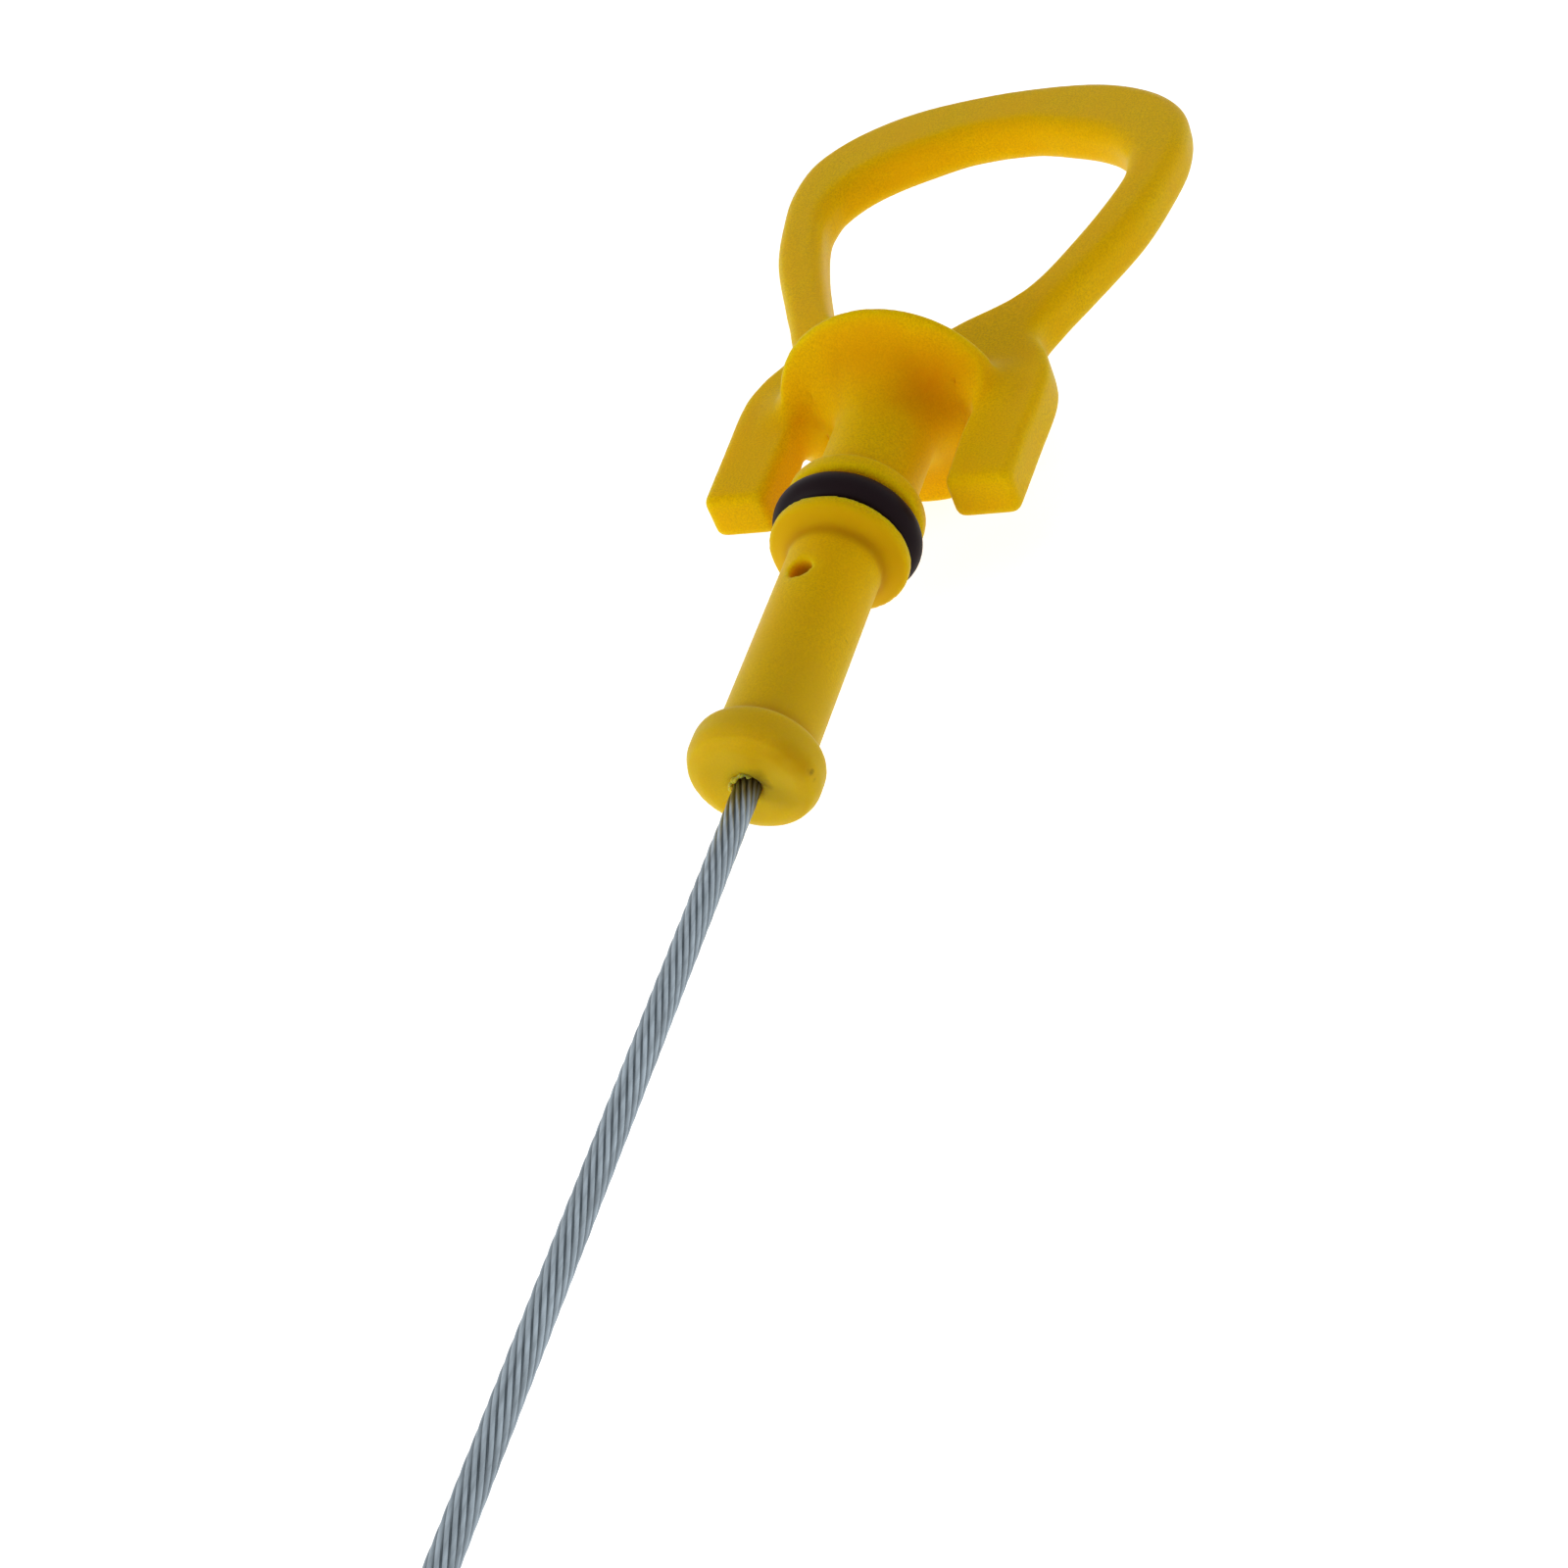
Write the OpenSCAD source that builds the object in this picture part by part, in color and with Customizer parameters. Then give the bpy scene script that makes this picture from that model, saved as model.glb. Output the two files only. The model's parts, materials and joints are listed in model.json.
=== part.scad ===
/* [Cable] */
// Diameter of the stranded steel cable
cable_d = 2.5; // [2:0.1:3]
// Length of cable between the handle and the crimp of the level blade
cable_free = 200; // [120:5:600]
// Length of cable moulded into the handle
cable_seat = 24; // [12:1:25]
// Gap all round between the cable and what holds it
cable_gap = 0.03; // [0.02:0.01:0.08]

/* [Level blade] */
// Length of the flat blade past its crimp barrel
blade_l = 52; // [40:1:80]
// Width of the blade
blade_w = 9; // [7:0.1:10]
// Thickness of the blade
blade_t = 1.2; // [0.8:0.1:1.4]
// Length of the barrel crimped on the cable
barrel_l = 12; // [8:0.5:16]
// Wall of the barrel
barrel_wall = 0.8; // [0.6:0.1:1]
// Diameter of the two level holes
level_hole_d = 2; // [1.5:0.1:2.5]
// Distance of the low mark from the end of the blade
level_low = 10; // [8:1:14]
// Distance between the low and the high mark
level_span = 20; // [14:1:24]

/* [Stem] */
// Diameter of the stem
stem_d = 9.2; // [7.6:0.1:10]
// Length of the stem between the guide bulb and the lower collar
stem_l = 23.8; // [20:0.2:32]
// Diameter of the guide bulb at the end of the stem
bulb_d = 12.4; // [11:0.1:13]
// Length of the guide bulb
bulb_l = 4.8; // [4:0.1:7]
// Diameter of the cross hole left by the mould's core pin
cross_hole_d = 2.4; // [1.6:0.1:2.6]
// Distance from the cross hole to the lower collar
cross_hole_gap = 5; // [4:0.2:12]
// Turn of the cross hole about the stem, from the upper side of the handle
cross_hole_turn = -8; // [-60:1:60]

/* [Seal] */
// Diameter of the two collars that plug the guide tube
collar_d = 13.8; // [13.4:0.1:14.6]
// Height of the lower collar's sloping underside
slope_l = 1.3; // [0.8:0.1:2]
// Thickness of the lower collar's rim
rim_l = 1.1; // [0.8:0.1:2]
// Length of the upper collar
collar_l = 2.3; // [1.8:0.1:3]
// Outer diameter of the sealing ring
ring_d = 14.8; // [14.2:0.1:15.8]
// Thickness of the sealing ring
ring_t = 3.6; // [2.8:0.1:3.8]
// Gap between the sealing ring and its groove's floor
ring_gap = 0.05; // [0.03:0.01:0.1]
// Play of the sealing ring along its groove
ring_play = 0.4; // [0.2:0.1:1]

/* [Hood] */
// Diameter of the neck between the seal and the hood
neck_d = 10.2; // [9:0.1:11]
// Length of the neck, from the upper collar to the underside of the hood
neck_l = 14; // [12:0.2:18]
// Diameter of the hood
hood_d = 24.4; // [22:0.2:28]
// Thickness of the hood at its rim
hood_t = 1.4; // [1.2:0.1:2.4]
// Radius that blends the neck into the underside of the hood
hood_cove = 6; // [4:0.2:6.4]

/* [Finger loop and guard wings] */
// Width of the finger loop
loop_w = 46.2; // [40:0.2:54]
// Height of the finger loop above the hood
loop_h = 53.8; // [44:0.2:66]
// Width of the loop's legs
leg_w = 5.9; // [4.6:0.1:6.4]
// Depth of the loop's top bar
bar_w = 8.1; // [6:0.1:9]
// Thickness of the finger loop
loop_t = 5.3; // [4.4:0.1:6]
// Thickness of the guard wings
wing_t = 5; // [4:0.1:6]
// Radius of the loop's long edges
loop_round = 1.9; // [1:0.1:1.9]
// Radius of the wings' long edges
wing_round = 1; // [0.8:0.1:1.6]
// Radius with which the wings' roots flare into the underside of the hood
wing_cove = 4; // [1:0.2:4.4]
// Width of the handle at the waist between wings and loop
waist_w = 27.5; // [26.5:0.5:32]
// Width over the two guard wings
wings_w = 33; // [31:0.5:38]
// Clear width between the two guard wings
wings_gap = 19.8; // [17:0.2:21]
// Length of the wings below the underside of the hood
wing_l = 14.4; // [10:0.2:16]

/* [Hidden] */
$fn = 48;
yellow = [0.83, 0.67, 0.05];
black = [0.08, 0.07, 0.08];
steel = [0.62, 0.65, 0.7];

// Places along the stick, from the end face of the bulb towards the loop
collar_1 = bulb_l + stem_l;
rim_1 = collar_1 + slope_l;
groove_1 = rim_1 + rim_l;
groove_2 = groove_1 + ring_t + ring_play;
collar_2 = groove_2 + collar_l;
hood_1 = collar_2 + neck_l;
hood_2 = hood_1 + hood_t;
loop_top = hood_2 + loop_h;
blade_end = -cable_free - barrel_l - blade_l;
cross_hole_at = collar_1 - cross_hole_gap;

// Radii
bore_r = cable_d / 2 + cable_gap;
ring_r = (ring_d - ring_t) / 2;
groove_r = ring_d / 2 - ring_t - ring_gap;
barrel_r = bore_r + barrel_wall;
bulb_round = 1.6;
collar_round = 0.25;
rim_round = 0.6;
exit_recess = 0.5;
hole_round = 4;

// The stick lies on the rim of its hood and the end of its blade, with the lower collar's middle at the origin
rest_run = (hood_1 + hood_2) / 2 - blade_end;
rest_drop = hood_d / 2 - rim_round - blade_t / 2;
pitch = atan2(rest_drop, rest_run) + asin(rim_round / norm([rest_run, rest_drop]));
seat = (rim_1 + groove_1 - collar_round) / 2;

module laid() {
    rotate([0, -pitch, 0]) translate([-seat, 0, 0]) children();
}

// Turns a profile, drawn as radius and place along the stick, about the stick's axis
module turned() {
    rotate([0, 90, 0]) rotate_extrude($fn = 96) children();
}

// Section of a disc with rounded corners
module disc_section(r, from, to, round) {
    translate([0, from]) square([r - round, to - from]);
    translate([0, from + round]) square([r, to - from - 2 * round]);
    translate([r - round, from + round]) circle(round);
    translate([r - round, to - round]) circle(round);
}

// Section of a hollow blend between a shaft of radius r and a face at the given place, on the face's side
// towards the tip (-1) or towards the loop (1)
module cove_section(r, face, size, side) {
    difference() {
        translate([r - 1, side > 0 ? face : face - size]) square([size + 1, size]);
        translate([r + size, face + side * size]) circle(size, $fn = 72);
    }
}

function arc(size, from, to, steps) = [for (i = [0:steps]) let (a = from + (to - from) * i / steps)
    size * [cos(a), sin(a)]];

// Smooth curve through points, with a few steps between each two
function spline(p, steps) = [for (i = [0:len(p) - 2], j = [0:steps - 1])
    between(p[max(i - 1, 0)], p[i], p[i + 1], p[min(i + 2, len(p) - 1)], j / steps), p[len(p) - 1]];
function between(a, b, c, d, t) =
    b + 0.5 * t * (c - a + t * (2 * a - 5 * b + 4 * c - d + t * (3 * (b - c) + d - a)));

// Half of the handle's outline, as place along the stick and distance to the side, from the wing's end to the
// top of the loop: outside edge first, then the inside edge
wing_end = hood_1 - wing_l;
waist = hood_2 + 7.2;
wide = loop_top - 14.4;
half = loop_w / 2;
outside = [
    [wing_end, wings_w / 2 - 0.3], [wing_end + 7, wings_w / 2 - 0.1], [hood_1 + 0.6, wings_w / 2 + 0.1],
    [hood_1 + 4.6, wings_w / 2 - 0.9], [waist, waist_w / 2], [waist + 4.5, waist_w / 2 + 1.4],
    [waist + 9.5, waist_w / 2 + 3.6], [waist + 18.5, half - 2.1], [wide - 5, half - 0.3], [wide, half],
    [wide + 4.8, half - 1], [wide + 8.6, half - 3.8], [wide + 11.4, half - 7.8],
    [wide + 13.2, half - 12.4], [wide + 14.1, half - 17.8], [loop_top, 0]];
inside = [
    [wing_end, wings_gap / 2], [wing_end + 7, wings_gap / 2 - 0.1], [hood_1 + 0.6, wings_gap / 2 - 0.3],
    [hood_1 + 4, wings_gap / 2 - 5], [waist - 1, hole_round - 2.2], [waist + 1.6, waist_w / 2 - 9.7],
    [waist + 6.3, outside[6][1] - leg_w - 1.2], [waist + 15.1, outside[7][1] - leg_w - 0.8],
    [wide - 8.2, outside[8][1] - leg_w + 0.1], [wide - 3.8, outside[9][1] - leg_w - 0.1],
    [wide - 1.4, outside[9][1] - leg_w - 0.9], [wide + 1, half - 8.7], [wide + 2.9, half - 11.4],
    [wide + 4.4, half - 14.7], [loop_top - bar_w - 0.4, half - 18.9], [loop_top - bar_w, 0]];

// One round-edged section of the strap, between a point of its inside edge and one of its outside edge
function strap_ring(a, b, inset, round, thick) =
    let (w = norm(b - a), d = (b - a) / w, r = max(round - inset, 0.1),
         x = w / 2 - inset - r, z = thick / 2 - inset - r, m = (a + b) / 2)
    [for (q = [[x, z, 0], [-x, z, 90], [-x, -z, 180], [x, -z, 270]], c = arc(r, q[2], q[2] + 90, 3))
        let (s = m + d * (q[0] + c[0])) [s[0], s[1], q[1] + c[1]]];

function along(p, by) = p + [by, 0];
function mirrored(ring) = [for (p = ring) [p[0], -p[1], p[2]]];

// The strap that makes both wings and the loop: half of its sections, then their mirror images
module strap() {
    steps = 3;
    out = spline(outside, steps);
    in = spline(inside, steps);
    end_round = 0.8;
    tip = [for (a = [0, 45, 90]) end_round * [1 - cos(a), 1 - sin(a)]];
    half_rings = concat(
        [for (t = tip) strap_ring(along(in[0], t[0]), along(out[0], t[0]), t[1], wing_round, wing_t)],
        [for (i = [1:len(out) - 1]) let (turn = min(max(i / steps - 3, 0) / 3, 1))
            strap_ring(in[i], out[i], 0, wing_round + turn * (loop_round - wing_round),
                wing_t + turn * (loop_t - wing_t))]);
    n = len(half_rings);
    skin(concat(half_rings, [for (i = [n - 2:-1:0]) mirrored(half_rings[i])]));
}

// Closes a row of rings of equal count into a solid
module skin(rings) {
    k = len(rings[0]);
    last = len(rings) - 1;
    faces = concat(
        [[for (j = [0:k - 1]) j]],
        [for (i = [0:last - 1], j = [0:k - 1])
            let (a = i * k + j, b = i * k + (j + 1) % k) [a, a + k, b + k, b]],
        [[for (j = [k - 1:-1:0]) last * k + j]]);
    polyhedron([for (r = rings, p = r) p], faces, convexity = 6);
}

// Web that joins the legs above the hood, with the round bottom of the finger hole
module web() {
    thick = wing_t - 0.6;
    translate([0, 0, -thick / 2]) linear_extrude(thick) difference() {
        translate([hood_1 + 0.5, -hole_round]) square([waist + 1 - hood_1, 2 * hole_round]);
        translate([waist + hole_round - 1.6, 0]) circle(hole_round, $fn = 72);
    }
}

// Roots of the wings: each flares from the wing's section into the underside of the hood, inwards and on both
// faces, and fades out towards the rim
module wing_roots() {
    foot = hood_1 - wing_cove;
    flare = [for (a = [0:15:90]) wing_cove * [sin(a), 1 - cos(a)]];
    root_w = wings_w / 2 - wing_round - wings_gap / 2;
    root_r = hood_d / 2 - 0.4 * wing_cove;
    intersection() {
        for (side = [0, 1]) mirror([0, side, 0])
            skin([for (f = concat(flare, [flare[6] + [hood_t / 2, 0]]))
                strap_ring([foot + f[0], wings_gap / 2 - f[1]], [foot + f[0], wings_w / 2 - wing_round], 0,
                    min(wing_round + f[1], (root_w + f[1]) / 2 - 0.2), wing_t - 0.1 + 2 * f[1])]);
        turned() polygon([[0, foot - 1], [root_r, foot - 1], [root_r, foot],
            [hood_d / 2 - 0.2, hood_1 + rim_round], [hood_d / 2 - 0.2, hood_2 - rim_round],
            [0, hood_2 - rim_round]]);
    }
}

// Section of the hollow blend between the stem and the lower collar's slope, tangent to both
module slope_cove(size) {
    lean = atan2(slope_l, (collar_d - stem_d) / 2);
    centre = [stem_d / 2 + size, collar_1 + size * (tan(lean) - 1 / cos(lean))];
    difference() {
        polygon([[stem_d / 2, centre[1]], [stem_d / 2, collar_1],
            centre + size * [-sin(lean), cos(lean)], centre]);
        translate(centre) circle(size, $fn = 72);
    }
}

// Guide bulb, stem, collars, groove, neck and hood, turned about the axis
module stem() {
    turned() {
        square([stem_d / 2, rim_1]);
        disc_section(bulb_d / 2, 0, bulb_l, bulb_round);
        cove_section(stem_d / 2, bulb_l - bulb_round / 2, 0.9, 1);
        polygon([[0, collar_1], [stem_d / 2, collar_1], [collar_d / 2, rim_1],
            [collar_d / 2 - 0.5, rim_1 + 0.2], [0, rim_1 + 0.2]]);
        slope_cove(0.9);
        disc_section(collar_d / 2, rim_1 - collar_round, groove_1, collar_round);
        translate([0, groove_1 - 0.5]) square([groove_r, groove_2 - groove_1 + 1]);
        disc_section(collar_d / 2, groove_2, collar_2, 2 * collar_round);
        cove_section(neck_d / 2, collar_2, 1, 1);
        translate([0, collar_2 - 0.5]) square([neck_d / 2, neck_l + 1]);
        cove_section(neck_d / 2, hood_1, hood_cove, -1);
        disc_section(hood_d / 2, hood_1, hood_2, rim_round);
        polygon([[0, hood_1 + 0.5], [hood_d / 2 - rim_round, hood_2 - 0.1], [4, hood_2 + 3.4],
            [0, hood_2 + 3.4]]);
    }
}

module handle() {
    color(yellow) laid() difference() {
        union() {
            stem();
            strap();
            web();
            wing_roots();
        }
        translate([-1, 0, 0]) rotate([0, 90, 0]) cylinder(r = bore_r, h = cable_seat + 1.1);
        translate([-0.01, 0, 0]) rotate([0, 90, 0])
            cylinder(r1 = bore_r + exit_recess, r2 = bore_r, h = exit_recess);
        rotate([cross_hole_turn, 0, 0]) translate([cross_hole_at, 0, stem_d / 4])
            cylinder(d = cross_hole_d, h = stem_d);
    }
}

module o_ring() {
    color(black) laid() turned() translate([ring_r, (groove_1 + groove_2) / 2]) circle(d = ring_t);
}

module cable() {
    color(steel) laid() translate([-cable_free - barrel_l + 1, 0, 0]) rotate([0, 90, 0])
        cylinder(d = cable_d, h = cable_free + barrel_l - 1 + cable_seat);
}

// Flat blade with its barrel rolled round the cable, pressed in twice, and two level holes with a hatched
// field between them
module level_blade() {
    shoulder = 7;
    corner = 0.8;
    mark_t = 0.12;
    high = level_low + level_span;
    color(steel) laid() translate([-cable_free - barrel_l, 0, 0]) {
        difference() {
            rotate([0, 90, 0]) cylinder(r = barrel_r, h = barrel_l);
            translate([1, 0, 0]) rotate([0, 90, 0]) cylinder(r = bore_r, h = barrel_l);
            for (x = [0.35, 0.7] * barrel_l, side = [-1, 1])
                translate([x, 0, side * (barrel_r + 0.75)]) rotate([90, 0, 0])
                    cylinder(r = 1.1, h = 4 * barrel_r, center = true);
        }
        difference() {
            translate([0, 0, -blade_t / 2]) linear_extrude(blade_t) difference() {
                polygon([[0.9, -barrel_r + 0.3], [-shoulder, -blade_w / 2], [corner - blade_l, -blade_w / 2],
                    [-blade_l, corner - blade_w / 2], [-blade_l, blade_w / 2 - corner],
                    [corner - blade_l, blade_w / 2], [-shoulder, blade_w / 2], [0.9, barrel_r - 0.3]]);
                for (x = [level_low, high]) translate([x - blade_l, 0]) circle(d = level_hole_d);
            }
            for (x = [level_low + 3:2.5:high - 3], turn = [-45, 45], side = [-1, 1])
                translate([x - blade_l, 0, side * blade_t / 2]) rotate([0, 0, turn])
                    cube([0.4, 0.7 * blade_w, 2 * mark_t], center = true);
        }
    }
}

handle();
o_ring();
cable();
level_blade();
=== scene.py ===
"""Looks of an engine oil dipstick: moulded handle, sealing ring, stranded cable and level blade.

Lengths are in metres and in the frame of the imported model, unless a name or a comment says millimetres.
A place along the stick is measured from the end face of the guide bulb and grows towards the finger loop.
"""

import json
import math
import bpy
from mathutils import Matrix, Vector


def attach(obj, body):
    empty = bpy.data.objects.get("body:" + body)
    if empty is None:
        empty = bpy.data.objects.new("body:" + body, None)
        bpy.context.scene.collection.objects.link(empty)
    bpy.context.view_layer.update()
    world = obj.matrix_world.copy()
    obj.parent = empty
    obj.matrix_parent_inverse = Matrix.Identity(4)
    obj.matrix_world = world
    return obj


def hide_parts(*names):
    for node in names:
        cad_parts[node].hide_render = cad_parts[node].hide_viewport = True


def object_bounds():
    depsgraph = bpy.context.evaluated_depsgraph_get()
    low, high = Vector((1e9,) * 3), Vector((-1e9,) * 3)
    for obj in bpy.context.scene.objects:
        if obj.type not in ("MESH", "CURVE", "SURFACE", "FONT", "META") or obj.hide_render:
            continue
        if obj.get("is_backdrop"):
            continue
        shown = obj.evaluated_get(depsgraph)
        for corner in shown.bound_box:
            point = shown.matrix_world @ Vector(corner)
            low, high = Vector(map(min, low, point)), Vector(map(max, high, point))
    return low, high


bl_info = {
    "name": "Engine Oil Dipstick",
    "version": (1, 0, 0),
    "blender": (4, 2, 0),
    "location": "3D View > Sidebar > Dipstick",
    "description": "Builds the moulded handle, sealing ring, stranded cable and level blade of a dipstick",
    "category": "Object",
}

import bpy
import numpy as np
from mathutils import Matrix, Vector

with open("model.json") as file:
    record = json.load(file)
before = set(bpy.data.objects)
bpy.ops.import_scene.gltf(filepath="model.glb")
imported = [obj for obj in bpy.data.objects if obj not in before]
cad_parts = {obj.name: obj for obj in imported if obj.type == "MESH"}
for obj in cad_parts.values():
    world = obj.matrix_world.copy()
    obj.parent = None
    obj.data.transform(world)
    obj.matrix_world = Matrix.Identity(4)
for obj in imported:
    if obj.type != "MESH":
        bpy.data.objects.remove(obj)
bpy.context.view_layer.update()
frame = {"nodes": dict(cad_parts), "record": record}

MM = 0.001
PLUG = next(m for m in frame["record"]["mounts"] if m["name"] == "tube_plug")
TOWARDS_LOOP = -np.array(PLUG["axis"], float)

# Places along the stick in millimetres, and the cross hole's turn about it in degrees
BULB_END = 4.8
COLLAR_FOOT = 28.6
COLLAR_RIM = 29.9
GROOVE = 31.0
GROOVE_END = 35.0
SEAL_END = 37.3
HOOD = 51.3
HOOD_TOP = 52.7
COLLAR_SLOPE = COLLAR_FOOT + 0.5
CROSS_HOLE = COLLAR_FOOT - 5
CROSS_HOLE_TURN = -8

# Roundings of the turned body and radius of its groove's floor, in millimetres
BULB_ROUND = 1.6
BULB_FOOT_ROUND = 0.9
RIM_ROUND = 0.25
COLLAR_ROUND = 0.5
COLLAR_TOP_ROUND = 0.8
NECK_FOOT_ROUND = 1.0
HOOD_COVE = 4.4
HOOD_ROUND = 0.6
GROOVE_FLOOR = 3.75

# Distance of the lower collar's straight rim from the bulb's end face, where the row's origin lies
SEAT = (COLLAR_RIM + GROOVE - RIM_ROUND) / 2 * MM

# Outside and inside edge of the left wing and the left half of the loop, in millimetres: (along, left)
OUTSIDE_EDGE = [
    (36.9, 16.2), (43.9, 16.4), (51.9, 16.6), (55.9, 15.6), (59.9, 13.75), (64.4, 15.15), (69.4, 17.35),
    (78.4, 21.0), (87.1, 22.8), (92.1, 23.1), (96.9, 22.1), (100.7, 19.3), (103.5, 15.3), (105.3, 10.7),
    (106.2, 5.3), (106.5, 0),
]
INSIDE_EDGE = [
    (36.9, 9.5), (43.9, 9.4), (51.9, 9.3), (55.3, 4.9), (58.9, 1.8), (61.5, 4.05), (66.2, 10.25),
    (75.0, 14.3), (83.9, 17.0), (88.3, 17.1), (90.7, 16.3), (93.1, 14.4), (95.0, 11.7), (96.5, 8.4),
    (98.0, 4.2), (98.4, 0),
]
EDGE_STEPS = 10
WING_ROUND = 1.0
WING_END_ROUND = 0.8
LOOP_ROUND = 1.9

# Marks on the plastic: (along, left, up) and radius in millimetres, strength at the middle, and colour.
# The brown ones are specks of dirt, the orange ones under the hood are painted shade, the pale one on the
# hood's far rim is painted light, and the dull and green ones darken the bulb's end face round the exit.
BROWN = (0.08, 0.04, 0.01)
# Painted shade: deeper orange on the hood's underside beside the neck
PAINTED_HOOD_SHADE = (0.82, 0.33, 0.002)
DULL = (0.6, 0.34, 0.002)
GREEN = (0.16, 0.1, 0.006)
# Painted light: a paler patch where light shines through the hood's thin far rim
PAINTED_RIM_GLOW = (1.0, 0.8, 0.006)
STAINS_AND_PAINTED_LIGHT = [
    ((17.55, -4.6, 0.5), 0.22, 1.0, BROWN),
    ((73.6, -17.9, -1.5), 0.3, 1.0, BROWN),
    ((1.1, -5.95, 0.35), 0.45, 0.8, BROWN),
    ((0.95, -5.85, 0.85), 0.35, 0.6, BROWN),
    ((1.0, -5.9, -0.3), 0.3, 0.5, BROWN),
    # Darker wedge on the bulb's end face, from the cable's exit towards its right rim
    ((0.0, -1.9, 3.4), 2.4, 0.6, DULL),
    ((0.5, -4.6, 3.0), 2.0, 0.7, DULL),
    ((0.9, -5.7, 1.5), 1.6, 0.7, DULL),
    # Painted shade on the hood's underside, strongest beside the neck
    ((49.9, -5.2, 4.3), 5.0, 0.85, PAINTED_HOOD_SHADE),
    ((50.0, 0.5, 7.0), 6.0, 0.35, PAINTED_HOOD_SHADE),
    # Dark green-brown patches beside the cable's exit
    ((0.0, -1.3, 1.2), 1.4, 0.7, GREEN),
    ((0.0, -1.7, 0.2), 0.9, 0.55, GREEN),
    # Painted light through the hood's thin far rim
    ((50.5, 8.4, -1.0), 3.5, 0.7, PAINTED_RIM_GLOW),
]

# How far the strand reaches into the handle and into the blade's barrel, in millimetres
IN_HANDLE = 6
IN_BARREL = 11

# Light levels of the floor and the studio, and the levels at which they are shown as a background
FLOOR_LIGHT = 0.38
FLOOR_SHOWN = 0.8
STUDIO_LIGHT = 0.43
STUDIO_SHOWN = 1.0

# Camera at the photo's angle: place, directions of its right and up, and focal length in millimetres
CAMERA_PLACE = (-0.16984, -0.097099, 0.133574)
CAMERA_RIGHT = (0.2901442, -0.9000771, -0.3250808)
CAMERA_UP = (0.7037651, -0.0295035, 0.7098199)
LENS = 56.99


# The stick's own frame


def laid(points):
    """Row frame places of points given as [along the stick, left, up] in metres, from the bulb's end face.

    The stick's axis is turned about Y by its pitch and passes through the row origin at the seat.
    """
    points = np.asarray(points, float)
    c, s = TOWARDS_LOOP[0], TOWARDS_LOOP[2]
    x, y, z = points[..., 0] - SEAT, points[..., 1], points[..., 2]
    return np.stack([x * c - z * s, y, x * s + z * c], axis=-1)


def on_stick(points):
    """Stick places in millimetres of row frame points: the inverse of laid."""
    c, s = TOWARDS_LOOP[0], TOWARDS_LOOP[2]
    x, y, z = points[..., 0], points[..., 1], points[..., 2]
    return np.stack([x * c + z * s + SEAT, y, z * c - x * s], axis=-1) / MM


# Surfaces


def spline(points, steps):
    """Catmull-Rom curve through points, with the same number of steps between each two of them."""
    p = np.asarray(points, float)
    p = np.concatenate([p[:1], p, p[-1:]])
    t = np.arange(steps)[:, None] / steps
    a, b, c, d = (p[i : len(p) - 3 + i, None, :] for i in range(4))
    curve = b + 0.5 * t * (c - a + t * (2 * a - 5 * b + 4 * c - d + t * (3 * (b - c) + d - a)))
    return np.concatenate([curve.reshape(-1, p.shape[1]), p[-1:]])


def squared(wave, power):
    """A sine or a cosine raised to a power with its sign kept: a power below 1 squares a circle off."""
    return np.sign(wave) * np.abs(wave) ** power


def rounded_section(width, height, radius, per_corner=7):
    """Corners of rounded rectangles, one for each entry of the sizes: quarter circles about four centres."""
    turn = np.linspace(0, 0.5 * np.pi, per_corner)
    angle = (turn[None, :] + 0.5 * np.pi * np.arange(4)[:, None]).ravel()
    side_x = np.repeat([1, -1, -1, 1], per_corner)
    side_z = np.repeat([1, 1, -1, -1], per_corner)
    r = radius[:, None]
    x = (width[:, None] / 2 - r) * side_x + r * np.cos(angle)
    z = (height[:, None] / 2 - r) * side_z + r * np.sin(angle)
    return x, z


def banded(inside, outside, height, radius):
    """Rings of a flat strap between two edge curves: a rounded rectangle across each pair of points.

    inside and outside are rows of [along, left]; the section's width follows the line from one to the other.
    """
    across = outside - inside
    width = np.linalg.norm(across, axis=1)
    across = across / width[:, None]
    x, z = rounded_section(width, height, radius)
    middle = 0.5 * (inside + outside)
    flat = middle[:, None, :] + x[..., None] * across[:, None, :]
    return np.concatenate([flat, z[..., None]], axis=-1)


def turned(profile, sides):
    """Rings of a turned body: each [place, radius] of the profile becomes a circle about the stick's axis."""
    angle = np.linspace(0, 2 * np.pi, sides, endpoint=False)
    place, radius = profile[:, :1], profile[:, 1:]
    return np.stack([place + 0 * angle, radius * np.cos(angle), radius * np.sin(angle)], axis=-1)


def ring_faces(rings, points, first=0, closed=False):
    """Quads between neighbouring rings of equal count, as an array of vertex numbers."""
    i = np.arange(rings if closed else rings - 1)[:, None]
    j = np.arange(points)[None, :]
    i2, j2 = (i + 1) % rings, (j + 1) % points
    quads = np.stack([i * points + j, i * points + j2, i2 * points + j2, i2 * points + j], axis=-1)
    return quads.reshape(-1, 4) + first


def closed_shell(rings, first=0):
    """Vertices and faces of a row of rings with a flat cap at each end; the vertices count from first.

    The faces point outwards when the points of a ring turn counterclockwise about the way to the next ring.
    """
    n, m = rings.shape[:2]
    faces = ring_faces(n, m, first).tolist()
    faces.append((first + np.arange(m)[::-1]).tolist())
    faces.append((first + (n - 1) * m + np.arange(m)).tolist())
    return rings.reshape(-1, 3), faces


def mesh_object(name, vertices, faces, smooth=True):
    """New object at the origin, its place in its mesh."""
    mesh = bpy.data.meshes.new(name)
    mesh.from_pydata(np.asarray(vertices, float).tolist(), [], faces)
    mesh.validate()
    mesh.polygons.foreach_set("use_smooth", np.full(len(mesh.polygons), smooth))
    mesh.update()
    piece = bpy.data.objects.new(name, mesh)
    bpy.context.scene.collection.objects.link(piece)
    return piece


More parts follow.
